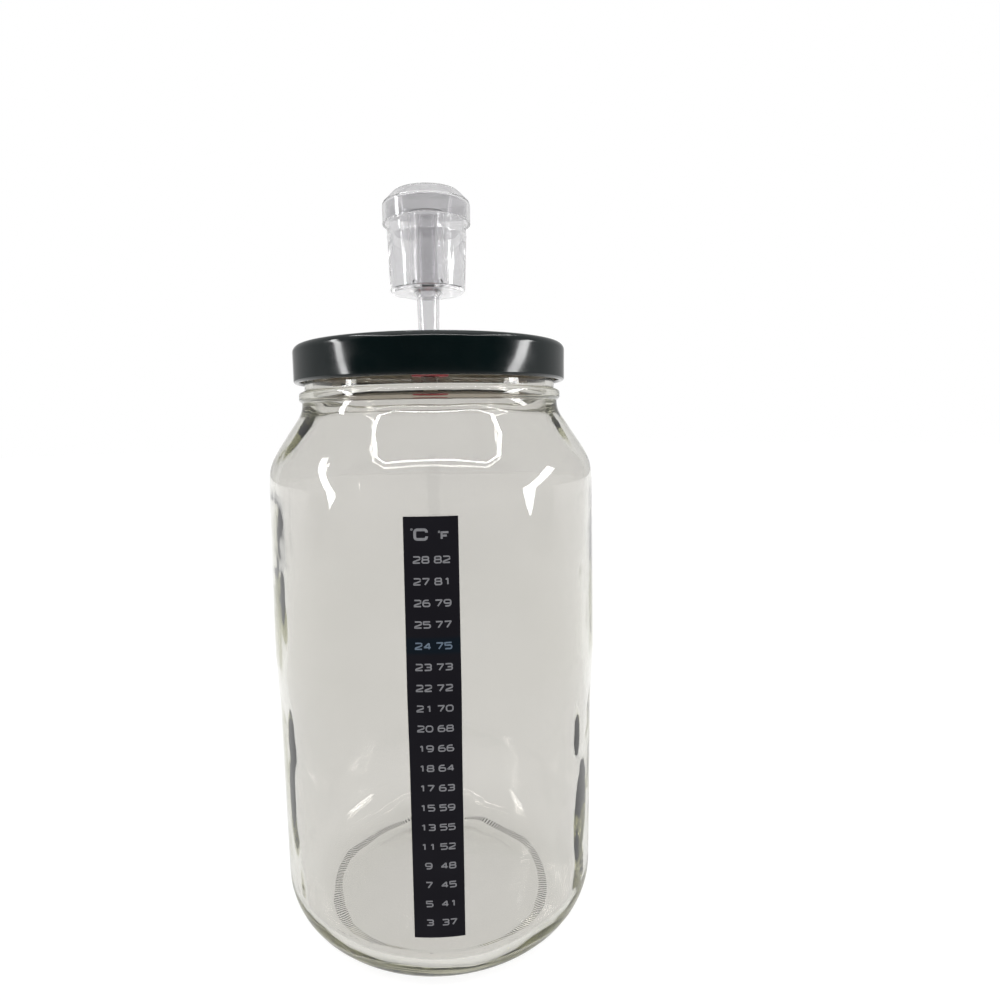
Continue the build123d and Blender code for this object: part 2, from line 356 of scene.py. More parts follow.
def rounded(corners):
    """Outline through corners, each (radius, height) or (radius, height, rounding)."""
    points = []
    for index, corner in enumerate(corners):
        if len(corner) == 2:
            points.append(Vector(corner))
        else:
            before = corners[index - 1]
            after = corners[(index + 1) % len(corners)]
            points += corner_arc(before, corner, after)
    return points


def divided(points, longest):
    """The same open outline with no stretch longer than a length."""
    result = [points[0]]
    for start, end in zip(points, points[1:]):
        steps = max(1, ceil((end - start).length / longest))
        result += [start.lerp(end, k / steps) for k in range(1, steps + 1)]
    return result


def moved_aside(path, distance):
    """An open path moved to the right-hand side of its travel."""
    moved = []
    for index, point in enumerate(path):
        before = path[max(index - 1, 0)]
        after = path[min(index + 1, len(path) - 1)]
        along = (after - before).normalized()
        moved.append(point + distance * Vector((along.y, -along.x)))
    return moved


# Meshes

def placed(name, data):
    """A new object in the scene."""
    thing = bpy.data.objects.new(name, data)
    bpy.context.scene.collection.objects.link(thing)
    return thing


def mesh_of(name, bm):
    """A mesh made from a bmesh, which is freed."""
    mesh = bpy.data.meshes.new(name)
    bm.to_mesh(mesh)
    bm.free()
    return mesh


def finished(name, bm, body, nodes, materials):
    """Makes a bmesh one piece of the object, on its body, in place of its CAD nodes."""
    mesh = mesh_of(name, bm)
    mesh.shade_smooth()
    mesh.set_sharp_from_angle(angle=sharp_angle)
    piece = placed(name, mesh)
    for material in materials:
        mesh.materials.append(material)
    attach(piece, body)
    if nodes:
        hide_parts(*nodes)
    return piece


def spun(outline, steps, marks=None, turn=2 * pi, start=0.0, closed=True):
    """A bmesh of the outline turned about the Z axis. Marks label the outline's points.

    A whole turn is spun as a wedge, which is then copied round and doubled until it closes.
    """
    whole = turn == 2 * pi
    doublings = spin_doublings if whole else 0
    bm = bmesh.new()
    mark = bm.verts.layers.float.new("mark")
    verts = []
    for index, point in enumerate(outline):
        vert = bm.verts.new((point.x, 0, point.y))
        vert[mark] = marks[index] if marks else 0
        verts.append(vert)
    pairs = list(zip(verts, verts[1:]))
    if closed:
        pairs.append((verts[-1], verts[0]))
    edges = [bm.edges.new(pair) for pair in pairs]
    section = bm.faces.new(verts) if closed and not whole else None
    bmesh.ops.rotate(bm, verts=bm.verts, cent=(0, 0, 0), matrix=Matrix.Rotation(start, 3, "Z"))
    geometry = verts + edges + ([section] if section else [])
    wedge = turn / 2 ** doublings
    bmesh.ops.spin(
        bm, geom=geometry, cent=(0, 0, 0), axis=(0, 0, 1), dvec=(0, 0, 0), angle=wedge,
        steps=steps // 2 ** doublings, use_merge=False, use_normal_flip=False, use_duplicate=False,
    )
    for doubling in range(doublings):
        copied = bmesh.ops.duplicate(bm, geom=bm.verts[:] + bm.edges[:] + bm.faces[:])["geom"]
        copied_verts = [item for item in copied if isinstance(item, bmesh.types.BMVert)]
        place = Matrix.Rotation(wedge * 2 ** doubling, 3, "Z")
        bmesh.ops.rotate(bm, verts=copied_verts, cent=(0, 0, 0), matrix=place)
    bmesh.ops.remove_doubles(bm, verts=bm.verts, dist=MERGE)
    if section:
        cap_flat_end(bm)
    bmesh.ops.recalc_face_normals(bm, faces=bm.faces)
    return bm


def cap_flat_end(bm):
    """Closes the first section of a part turn, which the spin leaves open."""
    open_edges = [edge for edge in bm.edges if edge.is_boundary]
    if open_edges:
        bmesh.ops.contextual_create(bm, geom=open_edges)


def joined(target, other):
    """Adds one bmesh's faces to another and frees it."""
    mesh = mesh_of("joined", other)
    target.from_mesh(mesh)
    bpy.data.meshes.remove(mesh)


def add_rod(bm, segments, radius, length, place):
    """Adds a closed cylinder and gives its vertices."""
    return bmesh.ops.create_cone(
        bm, cap_ends=True, cap_tris=False, segments=segments, radius1=radius, radius2=radius,
        depth=length, matrix=place,
    )["verts"]


def cut(piece, cutters):
    """Takes the cutters' shapes out of a piece and applies the cut to its mesh."""
    mesh = mesh_of("cutters", cutters)
    tool = placed("cutters", mesh)
    modifier = piece.modifiers.new("cut", "BOOLEAN")
    modifier.operation = "DIFFERENCE"
    modifier.solver = "EXACT"
    modifier.object = tool
    shaped = piece.evaluated_get(bpy.context.evaluated_depsgraph_get())
    result = bpy.data.meshes.new_from_object(shaped)
    piece.modifiers.clear()
    result.name = piece.name
    old = piece.data
    piece.data = result
    bpy.data.meshes.remove(old)
    bpy.data.objects.remove(tool)
    bpy.data.meshes.remove(mesh)
    result.set_sharp_from_angle(angle=sharp_angle)


# Shader nodes, and groups of them that several finishes share

def set_or_link(tree, socket, value):
    """Gives a socket a plain value or another node's output."""
    if isinstance(value, bpy.types.NodeSocket):
        tree.links.new(value, socket)
    else:
        socket.default_value = value


def calculated(tree, operation, *values):
    """The result of a Math node."""
    node = tree.nodes.new("ShaderNodeMath")
    node.operation = operation
    for socket, value in zip(node.inputs, values):
        set_or_link(tree, socket, value)
    return node.outputs[0]


def mixed(tree, factor, low, high, kind="FLOAT"):
    """A blend of two levels or colours, each a plain value or another node's output."""
    mix = tree.nodes.new("ShaderNodeMix")
    mix.data_type = kind
    tree.links.new(factor, mix.inputs["Factor"])
    set_or_link(tree, mix.inputs["A"], low)
    set_or_link(tree, mix.inputs["B"], high)
    return mix.outputs["Result"]


def smooth_range(tree, value, span, low, high):
    """A value that goes smoothly from low at the span's start to high at its end."""
    spread = tree.nodes.new("ShaderNodeMapRange")
    spread.interpolation_type = "SMOOTHSTEP"
    tree.links.new(value, spread.inputs["Value"])
    spread.inputs["From Min"].default_value = span[0]
    spread.inputs["From Max"].default_value = span[1]
    spread.inputs["To Min"].default_value = low
    spread.inputs["To Max"].default_value = high
    return spread.outputs["Result"]


def split_place(tree, kind):
    """X, Y and Z of a texture coordinate."""
    place = tree.nodes.new("ShaderNodeTexCoord")
    split = tree.nodes.new("ShaderNodeSeparateXYZ")
    tree.links.new(place.outputs[kind], split.inputs["Vector"])
    return split.outputs


def new_group(name, inputs, outputs):
    """An empty shader group with float inputs (name, default) and outputs."""
    group = bpy.data.node_groups.new(name, "ShaderNodeTree")
    for label, default in inputs:
        socket = group.interface.new_socket(name=label, in_out="INPUT", socket_type="NodeSocketFloat")
        socket.default_value = default
    for label, kind in outputs:
        group.interface.new_socket(name=label, in_out="OUTPUT", socket_type=kind)
    return group, group.nodes.new("NodeGroupInput"), group.nodes.new("NodeGroupOutput")


def noise_of_size(group, size):
    """A noise over the object whose patches have a size."""
    place = group.nodes.new("ShaderNodeTexCoord")
    texture = group.nodes.new("ShaderNodeTexNoise")
    group.links.new(place.outputs["Object"], texture.inputs["Vector"])
    group.links.new(calculated(group, "DIVIDE", 1.0, size), texture.inputs["Scale"])
    return texture


def grain_group():
    """Fine uneven height over a surface, for bump."""
    group, given, result = new_group(
        "grain", [("Size", 0.001), ("Detail", 2.0)], [("Height", "NodeSocketFloat")]
    )
    texture = noise_of_size(group, given.outputs["Size"])
    group.links.new(given.outputs["Detail"], texture.inputs["Detail"])
    group.links.new(texture.outputs["Fac"], result.inputs["Height"])
    return group


def mottle_group():
    """A value that drifts between two levels over patches of a size, for roughness or a mask."""
    group, given, result = new_group(
        "mottle", [("Size", 0.02), ("Low", 0.1), ("High", 0.2)], [("Value", "NodeSocketFloat")]
    )
    texture = noise_of_size(group, given.outputs["Size"])
    texture.inputs["Detail"].default_value = mottle_detail
    spread = group.nodes.new("ShaderNodeMapRange")
    spread.inputs["From Min"].default_value = mottle_span[0]
    spread.inputs["From Max"].default_value = mottle_span[1]
    group.links.new(texture.outputs["Fac"], spread.inputs["Value"])
    group.links.new(given.outputs["Low"], spread.inputs["To Min"])
    group.links.new(given.outputs["High"], spread.inputs["To Max"])
    group.links.new(spread.outputs["Result"], result.inputs["Value"])
    return group


def height_band_group():
    """1 near a height, fading to 0 at a reach above and below it."""
    group, given, result = new_group(
        "height_band", [("Middle", 0.1), ("Reach", 0.01)], [("Value", "NodeSocketFloat")]
    )
    height = split_place(group, "Object")["Z"]
    apart = calculated(group, "ABSOLUTE", calculated(group, "SUBTRACT", height, given.outputs["Middle"]))
    share = calculated(group, "DIVIDE", apart, given.outputs["Reach"])
    fade = smooth_range(group, share, height_band_edge, 1.0, 0.0)
    group.links.new(fade, result.inputs["Value"])
    return group


mottle_detail = 4.0
mottle_span = (0.35, 0.65)
height_band_edge = (0.5, 1.0)
grain = grain_group()
mottle = mottle_group()
height_band = height_band_group()


# Finishes

def shader_material(name, **settings):
    """A material with its Principled shader's plain sockets set, not metallic."""
    material = bpy.data.materials.new(name)
    material.use_nodes = True
    shader = material.node_tree.nodes["Principled BSDF"]
    shader.inputs["Metallic"].default_value = 0.0
    for label, value in settings.items():
        shader.inputs[label.replace("_", " ")].default_value = value
    return material, material.node_tree, shader


def add_group(tree, group, **values):
    """What a shared group gives in a material, with its own values."""
    node = tree.nodes.new("ShaderNodeGroup")
    node.node_tree = group
    for label, value in values.items():
        node.inputs[label].default_value = value
    return node.outputs[0]


def add_clouds(tree, shader, size, low, high):
    """Base colour that drifts between two colours over patches of a size."""
    clouds = add_group(tree, mottle, Size=size, Low=0.0, High=1.0)
    colour = mixed(tree, clouds, (*low, 1), (*high, 1), "RGBA")
    tree.links.new(colour, shader.inputs["Base Color"])


def add_smears(tree, shader, size, low, high):
    """Roughness that drifts between two levels over patches of a size."""
    smears = add_group(tree, mottle, Size=size, Low=low, High=high)
    tree.links.new(smears, shader.inputs["Roughness"])


def add_grain(tree, shader, size, detail, depth):
    """Bump of a grain of a size, with a depth in metres."""
    height = add_group(tree, grain, Size=size, Detail=detail)
    bump = tree.nodes.new("ShaderNodeBump")
    bump.inputs["Strength"].default_value = 1.0
    bump.inputs["Distance"].default_value = depth
    tree.links.new(height, bump.inputs["Height"])
    tree.links.new(bump.outputs["Normal"], shader.inputs["Normal"])


def add_absorption(tree, colour, density):
    """Plain absorption inside a clear solid."""
    absorption = tree.nodes.new("ShaderNodeVolumeAbsorption")
    absorption.inputs["Color"].default_value = (*colour, 1)
    absorption.inputs["Density"].default_value = density
    tree.links.new(absorption.outputs["Volume"], tree.nodes["Material Output"].inputs["Volume"])


def clear_glass():
    material, tree, shader = shader_material("clear_glass", Transmission_Weight=1.0, IOR=1.52)
    add_clouds(tree, shader, 90 * MM, (0.802, 0.792, 0.783), (0.822, 0.812, 0.804))
    add_smears(tree, shader, 60 * MM, 0.0, 0.003)
    add_grain(tree, shader, 14 * MM, 1.0, 0.12 * MM)
    add_absorption(tree, (0.60, 0.60, 0.42), 26.0)
    return material


def clear_plastic(name, low, high):
    material, tree, shader = shader_material(name, Transmission_Weight=1.0, IOR=1.50)
    add_clouds(tree, shader, 20 * MM, low, high)
    add_smears(tree, shader, 9 * MM, 0.01, 0.05)
    add_grain(tree, shader, 5 * MM, 1.0, 0.03 * MM)
    return material


def lid_enamel():
    material, tree, shader = shader_material(
        "lid_enamel", Coat_Weight=0.3, Coat_Roughness=0.08, Specular_IOR_Level=0.35
    )
    add_clouds(tree, shader, 12 * MM, (0.0023, 0.0068, 0.0073), (0.0031, 0.0084, 0.0089))
    add_smears(tree, shader, 7 * MM, 0.12, 0.2)
    add_grain(tree, shader, 1.6 * MM, 2.0, 0.008 * MM)
    return material


def inner_lacquer():
    material, tree, shader = shader_material("inner_lacquer", Coat_Weight=0.3, Coat_Roughness=0.1)
    # Tan lacquer, set lighter than its own colour: painted light for the light that reaches under the lid
    add_clouds(tree, shader, 10 * MM, (0.90, 0.80, 0.66), (0.95, 0.86, 0.72))
    add_smears(tree, shader, 6 * MM, 0.25, 0.4)
    add_grain(tree, shader, 1.2 * MM, 2.0, 0.01 * MM)
    return material


def sealing_compound():
    material, tree, shader = shader_material("sealing_compound")
    add_clouds(tree, shader, 4 * MM, (0.68, 0.63, 0.54), (0.76, 0.71, 0.62))
    add_smears(tree, shader, 3 * MM, 0.5, 0.65)
    add_grain(tree, shader, 0.5 * MM, 3.0, 0.03 * MM)
    return material


def red_rubber():
    material, tree, shader = shader_material("red_rubber", Specular_IOR_Level=0.35)
    add_clouds(tree, shader, 5 * MM, (0.50, 0.020, 0.035), (0.60, 0.035, 0.05))
    add_smears(tree, shader, 3 * MM, 0.42, 0.6)
    add_grain(tree, shader, 0.6 * MM, 4.0, 0.03 * MM)
    return material


def strip_film():
    """Dark film, a little bluer in the row that shows the temperature."""
    material, tree, shader = shader_material("strip_film", Specular_IOR_Level=0.06)
    add_clouds(tree, shader, 16 * MM, (0.0120, 0.0112, 0.0150), (0.0140, 0.0132, 0.0175))
    window = add_group(tree, height_band, Middle=lit_height, Reach=0.5 * row_pitch)
    dark = shader.inputs["Base Color"].links[0].from_socket
    colour = mixed(tree, window, dark, (0.0075, 0.0125, 0.0190, 1), "RGBA")
    tree.links.new(colour, shader.inputs["Base Color"])
    add_smears(tree, shader, 6 * MM, 0.30, 0.42)
    add_grain(tree, shader, 0.35 * MM, 2.0, 0.006 * MM)
    return material


def strip_glue():
    material, tree, shader = shader_material("strip_glue")
    add_clouds(tree, shader, 5 * MM, (0.022, 0.022, 0.028), (0.032, 0.032, 0.038))
    add_smears(tree, shader, 3 * MM, 0.3, 0.45)
    add_grain(tree, shader, 0.9 * MM, 2.0, 0.01 * MM)
    return material


def numeral_ink(name, low, high):
    material, tree, shader = shader_material(name)
    add_clouds(tree, shader, 1.5 * MM, low, high)
    add_smears(tree, shader, 1 * MM, 0.4, 0.55)
    return material


# Glass jar

def wall_corners(proud, low, high):
    """Corners of the jar's outer wall between two heights, moved out by proud."""
    rise_share = (high - band_bottom) / (shoulder_height - band_bottom)
    high_radius = band_radius + (shoulder_radius - band_radius) * rise_share
    return [
        (body_radius + proud, low),
        (body_radius + proud, panel_top, band_blend),
        (band_radius + proud, band_bottom, band_blend),
        (high_radius + proud, high),
    ]


def slope_height(radius):
    """Height of the shoulder's slope on the inside of the glass."""
    rise = (shoulder_radius - radius) * shoulder_slope
    return shoulder_height + rise - glass_wall / cos(shoulder_angle)


def heel_point(rise):
    """Point of the heel's arc at an angle up from the bearing ring."""
    return Vector((bearing_radius + heel_radius * sin(rise), heel_radius * (1 - cos(rise))))


def jar_outlines():
    """The jar's foot, its outer outline up over the rim, and its inner one down to the floor."""
    panel, band, shoulder = wall_corners(0, heel_radius, shoulder_height)[1:]
    dome = [Vector((push_up_radius * share, push_up * (1 - share * share))) for share in dome_rows]
    foot = [Vector((push_up_radius + bearing_width * share, 0)) for share in foot_rows]
    outer = rounded([
        (bearing_radius, 0),
        (body_radius, 0, heel_radius),
        panel,
        band,
        (*shoulder, shoulder_round),
        (neck_radius, neck_height, neck_round),
        (neck_radius, bead_low - bead_lip, bead_lip),
        (bead_radius, bead_low, bead_round),
        (bead_radius, bead_high, bead_round),
        (finish_radius, bead_high + bead_lip, bead_lip),
        (finish_radius, rim_height, rim_round),
        (mouth_radius, rim_height, rim_round),
        (mouth_radius, rim_height - 2 * rim_round),
    ])[1:]
    heel_rows = [heel_point(row * heel_row_step) for row in range(heel_row_count + 1)]
    outer = heel_rows + [point for point in outer if point.y > heel_rows[-1].y]
    inner = rounded([
        (mouth_radius, rim_height - 2 * rim_round),
        (mouth_radius, slope_height(mouth_radius), neck_round + glass_wall),
        (inner_radius, slope_height(inner_radius), shoulder_round - glass_wall),
        (inner_radius, floor_edge, inner_heel_radius),
        (0, floor_edge),
    ])[1:-1]
    floor_radius = inner_radius - inner_heel_radius
    inner += [
        Vector((floor_radius * share, floor_edge + floor_rise * (1 - share * share)))
        for share in floor_rows
    ]
    return dome + foot, outer, inner


def thread_bump(turn, height):
    """How far the thread stands out at a direction and height, 0 to 1."""
    start_step = 2 * pi / thread_starts
    entry_gap = (start_step - thread_arc) / 2
    fall = (front - entry_gap - turn) % start_step
    if fall > thread_arc:
        return 0.0
    fall_share = fall / thread_arc
    underside = lug_top + thread_clearance + thread_rise * (1 - fall_share)
    across = (height - underside) / thread_width
    if across < 0 or across > 1:
        return 0.0
    ends = min(1.0, thread_end_slope * min(fall_share, 1 - fall_share) + thread_end_least)
    return ends * min(1.0, thread_under_slope * across, thread_top_slope * (1 - across))


def sink_mould_dots(bm):
    """Presses each dot into the heel's nearest vertex."""
    places = {}
    for up, round_front in mould_dots:
        row = round(radians(up) / heel_row_step)
        segment = round(radians(round_front) * jar_segments / (2 * pi))
        turn = front + segment * 2 * pi / jar_segments
        rise = row * heel_row_step
        point = heel_point(rise)
        places[Vector((point.x * cos(turn), point.x * sin(turn), point.y)).freeze()] = rise
    for vert in bm.verts:
        if vert.co.z > mould_dots_top:
            continue
        for place, rise in places.items():
            if (vert.co - place).length < mould_dot_match:
                outward = vert.co.xy.normalized() * sin(rise)
                vert.co -= mould_dot_depth * Vector((outward.x, outward.y, -cos(rise)))


def thinning(turn, radius, height):
    """How far the thin places move the inner wall out, at a direction and height."""
    depth = 0.0
    for round_front, middle, half_width, half_height, most in thin_places:
        around = (turn - front - radians(round_front) + pi) % (2 * pi) - pi
        reach = (around * radius / half_width) ** 2 + ((height - middle) / half_height) ** 2
        if reach < 1:
            depth += most * (1 - reach) ** 2
    return depth


def ribbed_mark(point):
    """-1 on the ribbed band under the jar, which the bearing ring and the heel's start share."""
    on_band = push_up_radius + rib_start < point.x < bearing_radius + rib_reach
    return -1.0 if on_band and point.y < rib_height_limit else 0.0


def with_thread_rows(outer):
    """The outer outline with close rows of points where the thread is."""
    rows = [
        Vector((finish_radius, thread_low + (thread_high - thread_low) * row / thread_rows))
        for row in range(thread_rows + 1)
    ]
    below = [point for point in outer if point.y <= thread_low]
    above = outer[len(below):]
    return below + rows + [point for point in above if point.y > thread_high]


def wave_step(place):
    """How far the inner wall's waves move a place on it, calm near the rim."""
    slow = noise.noise(Vector((place.x / wave_width, place.y / wave_width, place.z / wave_height)))
    fine = noise.noise(place / ripple_size)
    fade = min(1.0, max(0.0, (rim_height - place.z - calm_under_rim) / calm_fade))
    return (wave_depth * slow + ripple_depth * fine) * fade


def glass_jar():
    foot, outer, inner = jar_outlines()
    outer = with_thread_rows(divided(outer, outer_row))
    inner = divided(inner, inner_row)
    marks = [ribbed_mark(point) for point in foot + outer] + [1.0] * len(inner)
    bm = spun(foot + outer + inner, jar_segments, marks=marks, closed=False)
    mark = bm.verts.layers.float["mark"]
    for vert in bm.verts:
        radius = vert.co.xy.length
        turn = atan2(vert.co.y, vert.co.x)
        if vert[mark] > 0.5 and radius > calm_floor_radius:
            step = wave_step(vert.co)
            ragged = 1 + thin_unevenness * noise.noise(vert.co / thin_grain)
            thin = thinning(turn, radius, vert.co.z) * ragged
            outward = Vector((vert.co.x, vert.co.y, 0)) / radius
            if vert.co.z > floor_edge + inner_heel_radius:
                vert.co += outward * (step + thin)
            else:
                vert.co += outward * thin
                vert.co.z += step
        elif vert[mark] < -0.5:
            vert.co.z += rib_depth * (0.5 - 0.5 * cos(turn * rib_count))
        elif thread_low <= vert.co.z <= thread_high and radius > finish_radius - finish_match:
            bump = thread_depth * thread_bump(turn, vert.co.z)
            vert.co.x += bump * cos(turn)
            vert.co.y += bump * sin(turn)
    sink_mould_dots(bm)
    finished("jar_glass", bm, "jar", ["glass_jar"], [clear_glass()])


# Lid

def lid_path():
    """Outer face of the pressed sheet, from the hole's edge out, down the skirt and round the curl."""
    path = rounded([
        (hole_radius, panel_height),
        (ring_inner - ring_slope, panel_height, ring_round + sheet),
        (ring_inner, lid_top, ring_round + sheet),
        (lid_radius, lid_top, lid_corner),
        (lid_radius, lid_bottom + curl_radius),
    ])
    centre = Vector((lid_radius - curl_radius, lid_bottom + curl_radius))
    for k in range(1, curl_steps + 1):
        angle = -curl_angle * k / curl_steps
        path.append(centre + curl_radius * Vector((cos(angle), sin(angle))))
    return path


def lug(index):
    """One of the lid's lugs, a rounded block on the inner side of the curl."""
    outline = rounded([
        (lug_radius, lug_bottom, lug_round),
        (lid_radius - curl_radius, lug_bottom),
        (lid_radius - curl_radius, lug_top),
        (lug_radius, lug_top, lug_round),
    ])
    start = front + index * 2 * pi / thread_starts - lug_arc / 2
    return spun(outline, lug_segments, marks=[1.0] * len(outline), turn=lug_arc, start=start)


def lid_shell():
    """The pressed sheet with its lugs, enamel on its outer face and lacquer, lightened with painted light,
    on the rest.
    """
    path = divided(lid_path(), lid_row)
    outline = path + moved_aside(path, sheet)[::-1]
    marks = [0.0] * len(path) + [1.0] * len(path)
    bm = spun(outline, lid_segments, marks=marks)
    for index in range(thread_starts):
        joined(bm, lug(index))
    mark = bm.verts.layers.float["mark"]
    for face in bm.faces:
        face.material_index = int(all(vert[mark] > 0.5 for vert in face.verts))
    coats = [lid_enamel(), inner_lacquer()]
    finished("lid_shell_pressed", bm, "lid", ["lid_shell"], coats)


def sealing_ring():
    low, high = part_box("lid_gasket")
    outline = rounded([
        (ring_inner + gasket_margin, high.z),
        (ring_inner + gasket_margin, low.z, gasket_round),
        (high.x, low.z, gasket_round),
        (high.x, high.z),
    ])
    bm = spun(outline, lid_segments)
    finished("sealing_ring", bm, "lid", ["lid_gasket"], [sealing_compound()])


# Grommet and airlock

def stem_radius_at(height):
    """The stem narrows from the hub down to its tip."""
    return stem_radius - (cup_bottom - hub_height - height) * tan(stem_taper)


def cup_radius_at(height):
    """The cup widens from its foot to its rim."""
    return cup_foot_radius + cup_flare * (height - cup_bottom) / cup_height


def rubber_grommet():
    flange_bottom = panel_height + grommet_fit
    sleeve_top = panel_height - sheet - grommet_fit
    outline = rounded([
        (stem_radius_at(flange_high.z) + stem_fit, flange_high.z),
        (flange_high.x, flange_high.z, grommet_round),
        (flange_high.x, flange_bottom, grommet_round),
        (hole_radius - grommet_fit, flange_bottom),
        (hole_radius - grommet_fit, sleeve_top),
        (flange_high.x, sleeve_top, grommet_round),
        (flange_high.x, flange_low.z, grommet_round),
        (stem_radius_at(flange_low.z) + stem_fit, flange_low.z),
    ])
    bm = spun(outline, airlock_segments)
    finished("rubber_grommet", bm, "bung", ["grommet"], [red_rubber()])


def airlock_cup():
    line_low = fill_line - fill_line_width / 2
    line_high = fill_line + fill_line_width / 2
    tip_radius = stem_radius_at(stem_tip)
    outline = rounded([
        (stem_radius - stem_wall, cup_bottom),
        (tip_radius - stem_wall, stem_tip),
        (tip_radius, stem_tip),
        (stem_radius, cup_bottom - hub_height),
        (hub_radius, cup_bottom),
        (cup_foot_radius, cup_bottom, cup_corner),
        (cup_radius_at(line_low), line_low),
        (cup_radius_at(fill_line) + fill_line_proud, fill_line, fill_line_proud),
        (cup_radius_at(line_high), line_high),
        (cup_rim_radius, cup_rim, cup_rim_round),
        (cup_rim_radius - cup_wall, cup_rim, cup_rim_round),
        (cup_radius_at(floor_top) - cup_wall, floor_top, floor_round),
        (standpipe_radius, floor_top, floor_round),
        (standpipe_radius, standpipe_top, standpipe_round),
        (standpipe_radius - standpipe_wall, standpipe_top, standpipe_round),
    ])
    bm = spun(outline, airlock_segments)
    plastic = clear_plastic("cup_plastic", (0.796, 0.793, 0.799), (0.816, 0.813, 0.820))
    finished("airlock_cup", bm, "airlock", ["airlock_body"], [plastic])


def float_bell():
    path = rounded([
        (bell_radius, bell_bottom),
        (bell_radius - bell_taper, bell_top, bell_round),
        (0, bell_top),
    ])
    inner_top = bell_top - bell_wall
    inner = rounded([
        (bell_radius - bell_wall, bell_bottom),
        (bell_radius - bell_taper - bell_wall, inner_top, bell_round - bell_wall),
        (0, inner_top),
    ])
    bm = spun(inner[::-1] + path, airlock_segments, closed=False)
    plastic = clear_plastic("bell_plastic", (0.965, 0.962, 0.968), (0.985, 0.982, 0.988))
    piece = finished("float_bell", bm, "bell", ["airlock_bell"], [plastic])
    notches = bmesh.new()
    notch_round = notch_width / 2
    notch_middle = notch_height - notch_round
    for notch in range(notch_count):
        turn = front + 2 * pi * (notch + 0.5) / notch_count
        place = Matrix.Rotation(turn, 4, "Z") @ Matrix.Translation((bell_radius, 0, bell_bottom))
        place = place @ Matrix.Translation((0, 0, notch_middle)) @ Matrix.Rotation(pi / 2, 4, "Y")
        for vert in add_rod(notches, notch_segments, notch_round, bell_radius, place):
            if vert.co.z < bell_bottom + notch_middle - MERGE:
                vert.co.z -= notch_height
    cut(piece, notches)


def airlock_cap():
    path = rounded([
        (cap_radius, cap_bottom),
        (cap_radius, cap_shoulder, cap_round),
        (cap_radius - cap_slope_width, cap_shoulder + cap_slope_height, cap_round),
        (cap_radius - cap_slope_width - cap_brow_width, cap_ceiling, cap_round),
        (0, cap_ceiling),
    ])
    bm = spun(path[::-1] + moved_aside(path, cap_wall), airlock_segments, closed=False)
    plastic = clear_plastic("cap_plastic", (0.770, 0.767, 0.773), (0.790, 0.787, 0.793))
    piece = finished("vented_cap", bm, "cap", ["airlock_cap"], [plastic])
    vents = bmesh.new()
    for vent in range(vent_count):
        turn = 2 * pi * vent / vent_count
        place = Vector((vent_circle * cos(turn), vent_circle * sin(turn), cap_ceiling + cap_wall / 2))
        add_rod(vents, vent_segments, vent_radius, 4 * cap_wall, Matrix.Translation(place))
    cut(piece, vents)


# Thermometer strip

def strip_layer(name, proud, thickness, nodes, material):
    """One layer of the strip, bent round the jar's wall."""
    inner = divided(rounded(wall_corners(proud, strip_bottom, strip_top)), strip_row)
    outer = [point + Vector((thickness, 0)) for point in inner]
    arc = strip_width / body_radius
    start = front + strip_offset / body_radius - arc / 2
    bm = spun(outer + inner[::-1], strip_segments, turn=arc, start=start)
    finished(name, bm, "jar", nodes, [material])


def film_radius(height):
    """Outer radius of the film at a height."""
    points = rounded(wall_corners(film_proud + film_thickness, strip_bottom, strip_top))
    for low, high in zip(points, points[1:]):
        if low.y <= height <= high.y:
            return low.lerp(high, (height - low.y) / (high.y - low.y)).x
    return points[-1].x


def glyph_mesh(glyph, width, height, stroke):
    """One numeral or letter drawn with a flat nib, with its lower left corner at the origin."""
    nib = bpy.data.curves.new("nib", "CURVE")
    nib_line = nib.splines.new("POLY")
    nib_line.points.add(3)
    half = stroke / 2
    nib_corners = ((-half, 0), (half, 0), (half, ink_thickness), (-half, ink_thickness))
    for point, (x, y) in zip(nib_line.points, nib_corners):
        point.co = (x, y, 0, 1)
    nib_line.use_cyclic_u = True
    nib_holder = placed("nib", nib)
    curve = bpy.data.curves.new("glyph", "CURVE")
    curve.dimensions = "3D"
    curve.twist_mode = "Z_UP"
    curve.bevel_mode = "OBJECT"
    curve.bevel_object = nib_holder
    curve.use_fill_caps = True
    for closed, corners in glyph_strokes[glyph]:
        points = rounded([
            (half + c[0] * (width - stroke), half + c[1] * (height - stroke), *(r * height for r in c[2:]))
            for c in corners
        ])
        line = curve.splines.new("POLY")
        line.points.add(len(points) - 1)
        for point, place in zip(line.points, points):
            point.co = (place.x, place.y, 0, 1)
        line.use_cyclic_u = closed
    holder = placed("glyph", curve)
    shaped = holder.evaluated_get(bpy.context.evaluated_depsgraph_get())
    mesh = bpy.data.meshes.new_from_object(shaped)
    for data, owner in ((curve, holder), (nib, nib_holder)):
        bpy.data.objects.remove(owner)
        bpy.data.curves.remove(data)
    return mesh


def lettering(bm, text, middle, centre, width, height, stroke):
    """Adds a number centred on a place across the strip and a height, bent round it."""
    pitch = width + numeral_gap
    for place, glyph in enumerate(text):
        mesh = glyph_mesh(glyph, width, height, stroke)
        left = middle - width / 2 + (place - (len(text) - 1) / 2) * pitch
        for vert in mesh.vertices:
            rise = centre - height / 2 + vert.co.y
            radius = film_radius(rise) + ink_lift + vert.co.z
            turn = front + (strip_offset + left + vert.co.x) / body_radius
            vert.co = (radius * cos(turn), radius * sin(turn), rise)
        bm.from_mesh(mesh)
        bpy.data.meshes.remove(mesh)


def printed(name, bm, material):
    """One piece of ink on the strip."""
    bmesh.ops.remove_doubles(bm, verts=bm.verts, dist=0.1 * MERGE)
    bmesh.ops.recalc_face_normals(bm, faces=bm.faces)
    finished(name, bm, "jar", [], [material])


